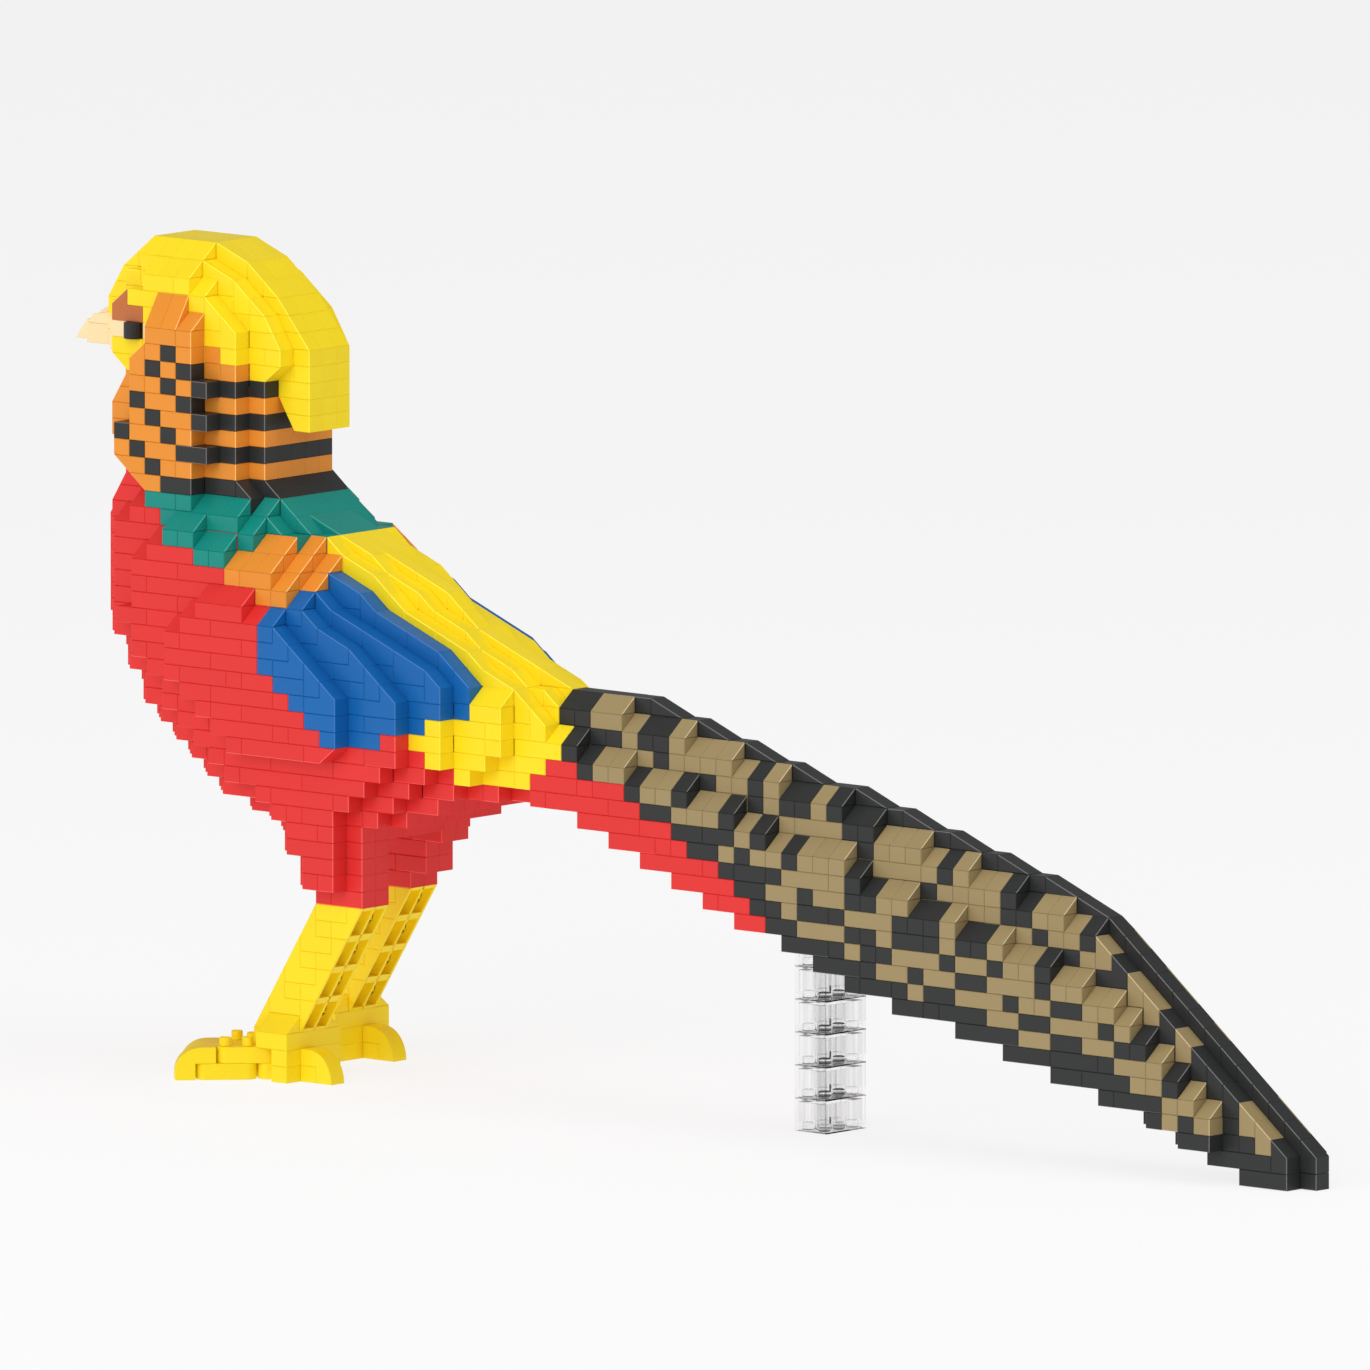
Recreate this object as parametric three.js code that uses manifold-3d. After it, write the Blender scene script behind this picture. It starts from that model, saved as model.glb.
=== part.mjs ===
// Golden pheasant built from small interlocking bricks, standing on its feet and a clear column.
import * as THREE from 'three';
import { mergeVertices } from 'three/addons/utils/BufferGeometryUtils.js';
import Module from 'manifold-3d';

const wasm = await Module();
wasm.setup();

// Driving dimensions, in millimetres
const stud = 4;
const course = 3.2;
const gap = 0.3;
const midStud = -38.5;

// All outlines below are counted in studs along X and Y and in courses along Z.
// The bird is a stack of upright slices one stud thick: slice 0 lies on the middle
// plane, slice 6 carries the outermost bricks of each wing.
const outerSlice = 6;

// Head and neck shared by the two innermost slices, from the nape over the crest to the throat
const innerHead = [
  [-64, 36], [-64, 41], [-63, 39], [-62, 39], [-62, 44], [-64, 47], [-65, 48], [-66, 49],
  [-68, 50], [-72, 50], [-74, 48], [-75, 46], [-75, 43], [-74, 43], [-73, 42], [-73, 35], [-74, 33],
];

// Stairs of the breast, as [stud where the front stands, course it reaches down to]
const breast = {
  inner: [[-74, 27], [-73, 25], [-72, 23], [-71, 21], [-70, 20], [-69, 19], [-68, 18], [-67, 17],
    [-65, 16], [-63, 15]],
  3: [[-73, 26], [-72, 24], [-71, 22], [-70, 21], [-69, 20], [-68, 19], [-67, 18], [-66, 17],
    [-64, 16], [-62, 15]],
  4: [[-72, 26], [-71, 24], [-70, 22], [-69, 21], [-68, 20], [-67, 19], [-66, 18], [-65, 17],
    [-62, 16]],
  5: [[-70, 28], [-71, 27], [-70, 25], [-69, 24], [-68, 22], [-67, 21], [-66, 20], [-65, 19],
    [-64, 18], [-62, 17], [-61, 16]],
  6: [[-65, 28], [-66, 27], [-67, 24], [-66, 23], [-65, 22], [-64, 21], [-63, 20]],
};

// Stairs of the underside, as [stud where a step ends, course it lies at]
const belly = [[-56, 15], [-54, 16], [-52, 17]];
const tailUnderside = [[-44, 18], [-42, 17], [-40, 16], [-38, 15], [-36, 14], [-34, 13], [-31, 12],
  [-29, 11], [-27, 10], [-24, 9], [-20, 8], [-17, 7], [-14, 6], [-11, 5]];
const tailTipUnderside = [[-9, 4], [-7, 3], [-5, 2], [-3, 1]];
const underside = {
  0: [...belly, ...tailUnderside, ...tailTipUnderside, [1, 0]],
  1: [...belly, ...tailUnderside, ...tailTipUnderside, [0, 0]],
  2: [...belly, [-49, 18], [-47, 19], ...tailUnderside, [-8, 4], [-6, 3], [-4, 2]],
  3: [...belly, [-51, 18], [-50, 19], [-49, 20], [-48, 21]],
  4: [[-55, 16], [-54, 17], [-53, 18], [-52, 19], [-51, 20]],
  5: [[-57, 16], [-56, 17], [-55, 18], [-54, 19], [-53, 20]],
  6: [[-57, 20]],
};

// Steps of the tail's upper edge, as [stud where the step starts, course of its top], from the tip
const tailTop = {
  1: [[-14, 14], [-17, 15], [-20, 16], [-23, 17], [-26, 18], [-28, 19], [-32, 20], [-35, 21],
    [-38, 22], [-42, 23], [-46, 24]],
  2: [[-5, 4], [-6, 5], [-7, 6], [-8, 7], [-9, 8], [-10, 9], [-12, 10], [-14, 11], [-17, 12],
    [-20, 13], [-23, 14], [-26, 15], [-27, 16], [-32, 17], [-34, 18], [-37, 19], [-41, 20],
    [-44, 21], [-46, 22]],
};

// Upper edge of each slice from its rear end forwards, as corner points
const upper = {
  0: [[1, 2], [-12, 15], [-16, 17], [-17, 17], [-19, 18], [-20, 18], [-22, 19], [-23, 19],
    [-25, 20], [-26, 20], [-28, 21], [-30, 21], [-32, 22], [-33, 22], [-35, 23], [-36, 23],
    [-38, 24], [-39, 24], [-41, 25], [-46, 25], [-50, 27], [-52, 28], [-54, 30], [-60, 33],
    [-62, 34], ...innerHead],
  1: [[0, 2], ...steps(-12, tailTop[1]), [-47, 25], [-48, 25], [-49, 26], [-51, 27], [-52, 28],
    [-54, 29], [-55, 30], [-57, 31], [-58, 32], [-60, 33], [-62, 34], ...innerHead],
  2: [...steps(-4, tailTop[2]), [-46, 23], [-48, 25], [-50, 26], [-51, 27], [-53, 28], [-55, 29],
    [-57, 31], [-59, 32], [-60, 33], [-61, 33], [-64, 36], [-64, 42], [-63, 43], [-63, 44],
    [-64, 46], [-66, 48], [-68, 49], [-72, 49], [-72, 48], [-73, 48], [-73, 46], [-74, 46],
    [-74, 43], [-73, 42], [-73, 35], [-74, 33]],
  3: [[-48, 24], [-50, 24], [-50, 25], [-52, 27], [-54, 28], [-56, 29], [-57, 30], [-59, 31],
    [-60, 31], [-60, 32], [-61, 32], [-61, 33], [-62, 33], [-63, 34], [-64, 34], [-64, 35],
    [-65, 36], [-65, 45], [-67, 47], [-68, 47], [-68, 48], [-71, 48], [-71, 47], [-72, 47],
    [-73, 46], [-73, 43], [-72, 42], [-72, 41.5], [-73, 40], [-73, 38], [-72, 38], [-72, 36],
    [-73, 34]],
  4: [[-51, 25], [-52, 26], [-58, 29], [-59, 30], [-60, 30], [-60, 31], [-61, 31], [-61, 32],
    [-63, 32], [-63, 33], [-64, 33], [-64, 34], [-67, 34], [-67, 37], [-66, 37], [-66, 38],
    [-67, 38], [-67, 39], [-66, 39], [-66, 40], [-67, 40], [-67, 41], [-66, 41], [-66, 42],
    [-67, 42], [-67, 45], [-70, 45], [-70, 44], [-71, 43], [-71, 39], [-72, 39], [-72, 37],
    [-70, 35], [-70, 34], [-71, 34], [-71, 33], [-72, 33]],
  5: [[-53, 24], [-55, 26], [-56, 27], [-58, 28], [-59, 29], [-60, 29], [-60, 30], [-61, 30],
    [-61, 31], [-64, 31], [-64, 32], [-66, 32], [-66, 33], [-68, 33], [-68, 32], [-69, 32],
    [-69, 31], [-70, 31]],
  6: [[-56, 21], [-56, 24], [-60, 28], [-62, 28], [-62, 29], [-65, 29]],
};

// Sloped bricks that face sideways, as [front stud, rear stud, course they start from, courses high]
const sideSlopes = {
  1: tailTop[1].map(([x, z], i) => [x, i ? tailTop[1][i - 1][0] : -12, z, 1]),
  2: [...tailTop[2].map(([x, z], i) => [x, i ? tailTop[2][i - 1][0] : -4, z, 1]), [-72, -68, 49, 1]],
  3: [[-64, -63, 34, 1], [-61, -60, 32, 1], [-60, -59, 31, 1], [-50, -48, 24, 1], [-71, -68, 48, 1],
    [-68, -67, 47, 1]],
  4: [[-72, -71, 33, 1], [-71, -70, 34, 1], [-67, -64, 34, 1], [-64, -63, 33, 1], [-63, -61, 32, 1],
    [-61, -60, 31, 1], [-60, -59, 30, 1], [-70, -68, 45, 2], [-68, -67, 45, 1]],
  5: [[-70, -69, 31, 1], [-69, -68, 32, 1], [-68, -66, 33, 1], [-66, -64, 32, 1], [-64, -61, 31, 1],
    [-61, -60, 30, 1], [-60, -59, 29, 1]],
  6: [[-67, -66, 27, 1], [-66, -65, 28, 1], [-65, -62, 29, 1], [-62, -60, 28, 1]],
};

// Corner points of a staircase whose steps are given by their far ends
function steps(start, list) {
  return list.flatMap(([x, z], i) => [[i ? list[i - 1][0] : start, z], [x, z]]);
}

function outline(slice) {
  const front = breast[slice] ?? breast.inner;
  const down = front.flatMap(([x, z], i) => [[x, i ? front[i - 1][1] : z], [x, z]]);
  const start = front[front.length - 1][0];
  return [...down, ...steps(start, underside[slice]), ...upper[slice]];
}

// Solids
function solid(geometry) {
  geometry.deleteAttribute('normal');
  geometry.deleteAttribute('uv');
  const merged = mergeVertices(geometry, 1e-4);
  return new wasm.Manifold(new wasm.Mesh({
    numProp: 3,
    vertProperties: new Float32Array(merged.attributes.position.array),
    triVerts: new Uint32Array(merged.index.array),
  }));
}

function withoutRepeats(points) {
  return points.filter(([x, z], i) => {
    const [px, pz] = points[(i + points.length - 1) % points.length];
    return x !== px || z !== pz;
  });
}

// A side outline in studs and courses, drawn out between two planes across the bird
function prism(points, y0, y1) {
  const corners = withoutRepeats(points)
    .map(([x, z]) => new THREE.Vector2((x - midStud) * stud, z * course));
  const depth = (y1 - y0) * stud;
  const geometry = new THREE.ExtrudeGeometry(new THREE.Shape(corners), { depth, bevelEnabled: false });
  geometry.rotateX(Math.PI / 2);
  geometry.translate(0, y1 * stud, 0);
  return solid(geometry);
}

// A block in studs and courses, grown on all sides by a margin in millimetres
function block([x0, x1, y0, y1, z0, z1], margin = 0) {
  const size = [(x1 - x0) * stud, (y1 - y0) * stud, (z1 - z0) * course].map((s) => s + 2 * margin);
  const geometry = new THREE.BoxGeometry(...size);
  geometry.translate(((x0 + x1) / 2 - midStud) * stud, ((y0 + y1) / 2) * stud, ((z0 + z1) / 2) * course);
  return solid(geometry);
}

// A wedge that rises from the outer face of a slice towards the next slice in
function wedge(x0, x1, slice, z, height) {
  const section = new THREE.Shape([
    new THREE.Vector2((slice - 0.5) * stud, z * course),
    new THREE.Vector2((slice + 0.5) * stud, z * course),
    new THREE.Vector2((slice - 0.5) * stud, (z + height) * course),
  ]);
  const geometry = new THREE.ExtrudeGeometry(section, { depth: (x1 - x0) * stud, bevelEnabled: false });
  geometry.rotateX(Math.PI / 2);
  geometry.rotateZ(Math.PI / 2);
  geometry.translate((x0 - midStud) * stud, 0, 0);
  return solid(geometry);
}

function join(solids) {
  return solids.reduce((sum, s) => sum.add(s));
}

// The main body of a shape, without the slivers that faces in one plane leave behind
function mainBody(shape) {
  return shape.decompose().sort((a, b) => b.volume() - a.volume())[0];
}

function mirrored(shape) {
  return shape.mirror([0, 1, 0]);
}

// Body of the bird: all slices with their sideways slopes
const half = [];
for (let slice = 1; slice <= outerSlice; slice += 1) {
  half.push(prism(outline(slice), slice - 0.5, slice + 0.5));
  for (const [x0, x1, z, height] of sideSlopes[slice]) {
    half.push(wedge(x0, x1, slice, z, height));
  }
}
const flank = join(half);
let rest = join([prism(outline(0), -0.5, 0.5), flank, mirrored(flank)]);

// Lower thighs, as blocks [front, rear, inner plane, outer plane, bottom, top]; the far leg steps ahead
const thighLeft = [[-59, -56, 2.5, 4.5, 11, 12], [-60, -56, 2.5, 4.5, 12, 14],
  [-61, -56, 2.5, 4.5, 14, 16], [-59, -57, 4.5, 5.5, 12, 14], [-60, -57, 4.5, 5.5, 14, 16]];
const thighRight = [[-62, -59, 2.5, 4.5, 11, 12], [-63, -58, 2.5, 4.5, 12, 14],
  [-64, -57, 2.5, 4.5, 14, 16], [-62, -60, 4.5, 5.5, 12, 14], [-63, -59, 4.5, 5.5, 14, 16.5]];
rest = join([rest, mirrored(join(thighLeft.map((b) => block(b)))), ...thighRight.map((b) => block(b))]);

const group = new THREE.Group();
group.name = 'brick_golden_pheasant';

const colours = {
  yellow: '#f4cf22', orange: '#f08a34', teal: '#1f8f84', blue: '#1f5cb4', red: '#d63636',
  black: '#2e2f31', tan: '#a48f66', cream: '#fbe0ac', brown: '#c0713f', clear: '#eef2f4',
};

// Drops triangles whose corners have been merged into one
function withoutSlivers(geometry) {
  const old = geometry.index.array;
  const index = [];
  for (let i = 0; i < old.length; i += 3) {
    const [a, b, c] = old.slice(i, i + 3);
    if (a !== b && b !== c && c !== a) index.push(a, b, c);
  }
  return geometry.setIndex(index);
}

function addMesh(name, shape, colour, roughness = 0.32) {
  const { vertProperties, triVerts } = shape.getMesh();
  const geometry = new THREE.BufferGeometry();
  geometry.setAttribute('position', new THREE.BufferAttribute(new Float32Array(vertProperties), 3));
  geometry.setIndex(new THREE.BufferAttribute(new Uint32Array(triVerts), 1));
  const flat = withoutSlivers(mergeVertices(geometry, 0.01)).toNonIndexed();
  flat.computeVertexNormals();
  const material = new THREE.MeshStandardMaterial({ color: colours[colour], roughness, metalness: 0 });
  material.name = colour;
  const mesh = new THREE.Mesh(flat, material);
  mesh.name = name;
  group.add(mesh);
}

// Takes a region out of the body as its own piece and leaves a fine seam around it
function part(name, blocks, colour) {
  const region = join(blocks.map((b) => block(b)));
  addMesh(name, mainBody(rest.intersect(region)), colour);
  rest = rest.subtract(join(blocks.map((b) => block(b, gap))));
}

// The same for a piece that each side of the bird has
function sidePart(name, blocks, colour) {
  const region = join(blocks.map((b) => block(b)));
  const seam = join(blocks.map((b) => block(b, gap)));
  const piece = mainBody(rest.intersect(region));
  addMesh(`${name}_right`, piece, colour);
  addMesh(`${name}_left`, mirrored(piece), colour);
  rest = rest.subtract(seam).subtract(mirrored(seam));
}

const flip = ([x0, x1, y0, y1, z0, z1]) => [x0, x1, -y1, -y0, z0, z1];
const sides = [['left', flip], ['right', (b) => b]];

// Eyes: round black studs set in square openings
const eye = { x: -71.5, y: 3, z: 44.5, radius: 0.5 };
for (const [side, turn] of sides) {
  const socket = turn([eye.x - 0.5, eye.x + 0.5, eye.y - 0.5, eye.y + 0.6, eye.z - 0.5, eye.z + 0.5]);
  rest = rest.subtract(block(socket));
  const radius = eye.radius * stud - gap;
  const geometry = new THREE.CylinderGeometry(radius, radius, course - 2 * gap, 24);
  geometry.rotateX(Math.PI / 2);
  const y = side === 'left' ? -eye.y : eye.y;
  geometry.translate((eye.x - midStud) * stud, y * stud, eye.z * course);
  addMesh(`eye_${side}`, solid(geometry), 'black', 0.2);
}

sidePart('brow', [[-73, -71, 2.5, 3.5, 45, 46], [-73, -72, 2.5, 3.5, 46, 47]], 'brown');
part('face', [[-76, -71, -3.5, 3.5, 42, 46]], 'yellow');
part('crest', [
  [-76, -60, -2.5, 2.5, 43, 51], [-64, -60, -1.5, 1.5, 38, 43], [-73, -60, -3.5, 3.5, 43, 51],
], 'yellow');
part('cape', [[-73, -62, -4.5, 4.5, 34.8, 48]], 'orange');
part('mantle', [[-71, -60, -4.5, 4.5, 33, 35], [-69, -64, -5.5, 5.5, 31.5, 35]], 'teal');

sidePart('wing', [[-61, -50, 3.5, 7, 25, 29], [-60, -50, 3.5, 7, 24, 25], [-59, -50, 3.5, 7, 23, 24],
  [-58, -50, 3.5, 7, 22, 23], [-57, -50, 3.5, 7, 21, 22]], 'blue');
sidePart('shoulder', [[-64, -58, 2.5, 5.5, 29.5, 33]], 'orange');

// Tail and its coverts
part('tail_coverts', [
  [-47, -41, -2.5, 2.5, 18, 21], [-47, -38, -2.5, 2.5, 16, 18], [-47, -35, -2.5, 2.5, 14, 16],
  [-47, -32, -2.5, 2.5, 11, 14],
], 'red');
part('tail', [[-46, 2, -2.5, 2.5, -1, 26]], 'black');
part('back', [[-60, -45, -3.5, 3.5, 19, 33]], 'yellow');

for (const [side, turn] of sides) {
  part(`thigh_${side}`, [turn([-65, -55, 2.5, 5.5, 10, 15])], 'red');
}
addMesh('torso', mainBody(rest), 'red');

// Beak: a narrow wedge between two short cheeks
const beakProfile = [[-75, 43], [-75, 45.5], [-75.6, 45.4], [-76.4, 44.8], [-77.3, 44.2], [-78, 43]];
const beakBase = [[-75, 43], [-75, 45], [-76, 44.8], [-76.4, 44.2], [-76.4, 43]];
const beak = join([prism(beakProfile, -0.5, 0.5), prism(beakBase, -1.5, 1.5)]);
addMesh('beak', beak.translate([-gap, 0, 0]).subtract(block([-80, -77.99, -2, 2, 42, 46])), 'cream');

// Legs: the shank leans forward one stud for every two courses
const leg = { rear: -56, length: 3, inner: 2.5, outer: 4.5, top: 11, foot: 3, lean: 0.5, step: 3 };
const heel = { length: 3, margin: 1 };
const claw = { length: 2, height: 2, inner: 3.5, outer: 4.5 };
const toe = { tipX: -64.8, tipY: 8.2, length: 4.5, width: 3.5, height: 2, round: 1.5 };
const arcSteps = 6;

function quarterRound(x0, z0, dx, dz) {
  const points = [];
  for (let i = 0; i <= arcSteps; i += 1) {
    const a = (i / arcSteps) * (Math.PI / 2);
    points.push([x0 + dx * Math.cos(a), z0 + dz * Math.sin(a)]);
  }
  return points;
}

for (const [side, turn, ahead] of [['left', flip, 0], ['right', (b) => b, leg.step]]) {
  const rear = leg.rear - ahead;
  const shift = (leg.top - leg.foot) * leg.lean;
  const place = (shape) => (side === 'left' ? mirrored(shape) : shape);
  const seam = gap / course;
  const shank = prism([
    [rear - leg.length - shift, leg.foot + seam], [rear - shift, leg.foot + seam],
    [rear, leg.top - seam], [rear - leg.length, leg.top - seam],
  ], leg.inner, leg.outer);
  addMesh(`shank_${side}`, place(shank), 'yellow');
  const heelRear = rear - shift;
  const heelBlock = block(turn([heelRear - heel.length, heelRear, leg.inner - heel.margin,
    leg.outer + heel.margin, 0, leg.foot]));
  // Front toes: a block with a rounded front edge, turned outwards by an eighth of a turn
  const pad = prism([[0, toe.height], [0, 0], [-toe.length, 0],
    ...quarterRound(-toe.length + toe.round, 0, -toe.round, toe.height)], 0, toe.width)
    .translate([(midStud + toe.length) * stud, -toe.width * stud, 0]);
  const turned = pad.rotate([0, 0, -45])
    .translate([(toe.tipX - ahead - midStud) * stud, toe.tipY * stud, 0]);
  addMesh(`foot_${side}`, heelBlock.add(place(turned)), 'yellow');
  const clawFront = heelRear + seam;
  const clawShape = prism([[clawFront, 0],
    ...quarterRound(clawFront + 0.5, 0, claw.length - 0.5, claw.height), [clawFront, claw.height]],
  claw.inner, claw.outer);
  addMesh(`claw_${side}`, place(clawShape), 'yellow');
}

// Clear column under the tail
const column = { front: -31, rear: -29, half: 1.5, top: 11 };
const columnTop = column.top - gap / course;
addMesh('stand_column', block([column.front, column.rear, -column.half, column.half, 0, columnTop]),
  'clear', 0.1);

export default group;
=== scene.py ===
import bpy, math
import numpy as np
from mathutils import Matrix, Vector


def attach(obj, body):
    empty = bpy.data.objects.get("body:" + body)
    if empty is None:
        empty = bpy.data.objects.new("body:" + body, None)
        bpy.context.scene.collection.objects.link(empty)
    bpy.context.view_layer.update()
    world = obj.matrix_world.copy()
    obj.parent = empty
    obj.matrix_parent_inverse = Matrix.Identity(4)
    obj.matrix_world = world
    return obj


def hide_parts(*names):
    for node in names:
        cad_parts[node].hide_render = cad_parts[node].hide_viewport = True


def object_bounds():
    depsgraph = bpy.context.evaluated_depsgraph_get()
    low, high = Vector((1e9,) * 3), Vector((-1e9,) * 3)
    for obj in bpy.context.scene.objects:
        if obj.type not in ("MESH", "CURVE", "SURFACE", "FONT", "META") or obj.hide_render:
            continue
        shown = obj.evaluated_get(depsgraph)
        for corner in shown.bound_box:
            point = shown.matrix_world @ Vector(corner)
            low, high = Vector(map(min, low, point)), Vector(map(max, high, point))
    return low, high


# A golden pheasant pressed together from small bricks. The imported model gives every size: it is 50 courses
# high, and a course is four fifths of a stud.

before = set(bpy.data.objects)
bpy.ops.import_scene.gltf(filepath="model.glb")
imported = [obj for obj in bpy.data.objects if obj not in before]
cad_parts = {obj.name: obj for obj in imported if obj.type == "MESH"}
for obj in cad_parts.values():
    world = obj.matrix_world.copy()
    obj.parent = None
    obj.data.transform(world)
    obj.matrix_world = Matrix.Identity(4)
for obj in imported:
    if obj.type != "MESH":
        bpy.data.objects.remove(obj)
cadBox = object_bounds()
course = (cadBox[1][2] - cadBox[0][2]) / 50
stud = course * 1.25
midStud = -38.5                        # the stud that lies at the frame's origin


def toFrame(x, y, z):                  # studs, studs and courses to metres
    return (x - midStud) * stud, y * stud, z * course


# Layout of the slices

brick = {
    "longest": 4,                      # studs
    "bevel": 0.032,                    # studs, as are the next five: the edges round the open upright faces
    "hiddenBevel": 0.007,              # round the faces that other bricks cover
    "slopeBevel": 0.02,                # between sideways slopes
    "corner": 0.004,                   # the edges that run across the bird
    "seam": 0.0035,
    "ridgeSeam": 0.008,                # along the black ridge of the tail
    "toneSpread": 0.05,                # how far bricks of one colour differ
    "paintedHighlight": 0.13,                 # how far the painted highlight turns the open edges white
    "paintedHighlightGain": 0.7,                   # how much the painted highlight brightens their own colour
    # plastics whose painted edge highlights take only a share of both
    "softPaintedHighlights": {"yellow": 0.3, "blue": 0.35, "teal": 0.5, "red": 0.6},
    "probe": 0.1,                      # how far from an edge it is tested for other bricks
    "sharpAngle": 25,                  # degrees
}

# The bird is a stack of upright slices one stud thick. Slice 0 is the middle one and slice 6 the outermost.
innerHead = [
    (-64, 36), (-64, 41), (-63, 39), (-62, 39), (-62, 44), (-64, 47), (-65, 48), (-66, 49), (-68, 50),
    (-72, 50), (-74, 48), (-75, 46), (-75, 43), (-74, 43), (-73, 42), (-73, 35), (-74, 33),
]

# Stairs of the breast, each (stud where the front stands, course it reaches down to)
innerBreast = [
    (-74, 27), (-73, 25), (-72, 23), (-71, 21), (-70, 20), (-69, 19), (-68, 18), (-67, 17), (-65, 16),
    (-63, 15),
]
breast = {
    0: innerBreast, 1: innerBreast, 2: innerBreast,
    3: [(-73, 26), (-72, 24), (-71, 22), (-70, 21), (-69, 20), (-68, 19), (-67, 18), (-66, 17), (-64, 16),
        (-62, 15)],
    4: [(-72, 26), (-71, 24), (-70, 22), (-69, 21), (-68, 20), (-67, 19), (-66, 18), (-65, 17), (-62, 16)],
    5: [(-70, 28), (-71, 27), (-70, 25), (-69, 24), (-68, 22), (-67, 21), (-66, 20), (-65, 19), (-64, 18),
        (-62, 17), (-61, 16)],
    6: [(-65, 28), (-66, 27), (-67, 24), (-66, 23), (-65, 22), (-64, 21), (-63, 20)],
}

# Stairs of the underside, each (stud where a step ends, course it lies at)
belly = [(-56, 15), (-54, 16), (-52, 17)]
tailUnderside = [
    (-44, 18), (-42, 17), (-40, 16), (-38, 15), (-36, 14), (-34, 13), (-31, 12), (-29, 11), (-27, 10),
    (-24, 9), (-20, 8), (-17, 7), (-14, 6), (-11, 5),
]
tipUnderside = [(-9, 4), (-7, 3), (-5, 2), (-3, 1)]
underside = {
    0: belly + tailUnderside + tipUnderside + [(1, 0)],
    1: belly + tailUnderside + tipUnderside + [(0, 0)],
    2: belly + [(-49, 18), (-47, 19)] + tailUnderside + [(-8, 4), (-6, 3), (-4, 2)],
    3: belly + [(-51, 18), (-50, 19), (-49, 20), (-48, 21)],
    4: [(-55, 16), (-54, 17), (-53, 18), (-52, 19), (-51, 20)],
    5: [(-57, 16), (-56, 17), (-55, 18), (-54, 19), (-53, 20)],
    6: [(-57, 20)],
}

# Steps of the tail's upper edge from the tip, each (stud where the step starts, course of its top, colours of
# its bricks from front to rear: b black, t tan, y yellow)
tailTop = {
    1: [(-14, 14, "tb"), (-17, 15, "btt"), (-20, 16, "ttb"), (-23, 17, "tbt"), (-26, 18, "ttt"),
        (-28, 19, "bb"), (-32, 20, "bbtb"), (-35, 21, "tbt"), (-38, 22, "ttt"), (-42, 23, "tbbt"),
        (-46, 24, "bbtt")],
    2: [(-5, 4, "t"), (-6, 5, "t"), (-7, 6, "b"), (-8, 7, "t"), (-9, 8, "b"), (-10, 9, "t"),
        (-12, 10, "tt"), (-14, 11, "tt"), (-17, 12, "ttb"), (-20, 13, "bbt"), (-23, 14, "bbt"),
        (-26, 15, "btt"), (-27, 16, "b"), (-32, 17, "tbttt"), (-34, 18, "tb"), (-37, 19, "ttb"),
        (-41, 20, "bttb"), (-44, 21, "btt"), (-46, 22, "yb")],
}
tipSlope = {"front": -12, "bricks": "tbttbtbbbttb"}  # the long slope that ends the tail, from its front end


def steps(start, stairs):              # corner points of a staircase given by the far end of each step
    points = []
    for x, z in stairs:
        points += [(start, z), (x, z)]
        start = x
    return points


def topSteps(row, start):              # the same for the steps of the tail
    return steps(start, [(x, z) for x, z, _ in tailTop[row]])


# Upper edge of each slice from its rear end forwards, as corner points
upper = {
    0: [(1, 2), (-12, 15), (-16, 17), (-17, 17), (-19, 18), (-20, 18), (-22, 19), (-23, 19), (-25, 20),
        (-26, 20), (-28, 21), (-30, 21), (-32, 22), (-33, 22), (-35, 23), (-36, 23), (-38, 24), (-39, 24),
        (-41, 25), (-46, 25), (-50, 27), (-52, 28), (-54, 30), (-60, 33), (-62, 34)] + innerHead,
    1: [(0, 2)] + topSteps(1, -12) + [(-47, 25), (-48, 25), (-49, 26), (-51, 27), (-52, 28), (-54, 29),
        (-55, 30), (-57, 31), (-58, 32), (-60, 33), (-62, 34)] + innerHead,
    2: topSteps(2, -4) + [(-46, 23), (-48, 25), (-50, 26), (-51, 27), (-53, 28), (-55, 29), (-57, 31),
        (-59, 32), (-60, 33), (-61, 33), (-64, 36), (-64, 42), (-63, 43), (-63, 44), (-64, 46), (-66, 48),
        (-68, 49), (-72, 49), (-72, 48), (-73, 48), (-73, 46), (-74, 46), (-74, 43), (-73, 42), (-73, 35),
        (-74, 33)],
    3: [(-48, 24), (-50, 24), (-50, 25), (-52, 27), (-54, 28), (-56, 29), (-57, 30), (-59, 31), (-60, 31),
        (-60, 32), (-61, 32), (-61, 33), (-62, 33), (-63, 34), (-64, 34), (-64, 35), (-65, 36), (-65, 45),
        (-67, 47), (-68, 47), (-68, 48), (-71, 48), (-71, 47), (-72, 47), (-73, 46), (-73, 43), (-72, 42),
        (-73, 40), (-73, 38), (-72, 38), (-72, 36), (-73, 34)],
    4: [(-51, 25), (-52, 26), (-58, 29), (-59, 30), (-60, 30), (-60, 31), (-61, 31), (-61, 32), (-63, 32),
        (-63, 33), (-64, 33), (-64, 34), (-67, 34), (-67, 37), (-66, 37), (-66, 38), (-67, 38), (-67, 39),
        (-66, 39), (-66, 40), (-67, 40), (-67, 41), (-66, 41), (-66, 42), (-67, 42), (-67, 45), (-70, 45),
        (-70, 44), (-71, 43), (-71, 39), (-72, 39), (-72, 37), (-70, 35), (-70, 34), (-71, 34), (-71, 33),
        (-72, 33)],
    5: [(-53, 24), (-55, 26), (-56, 27), (-58, 28), (-59, 29), (-60, 29), (-60, 30), (-61, 30), (-61, 31),
        (-64, 31), (-64, 32), (-66, 32), (-66, 33), (-68, 33), (-68, 32), (-69, 32), (-69, 31), (-70, 31)],
    6: [(-56, 21), (-56, 24), (-60, 28), (-62, 28), (-62, 29), (-65, 29)],
}

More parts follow.
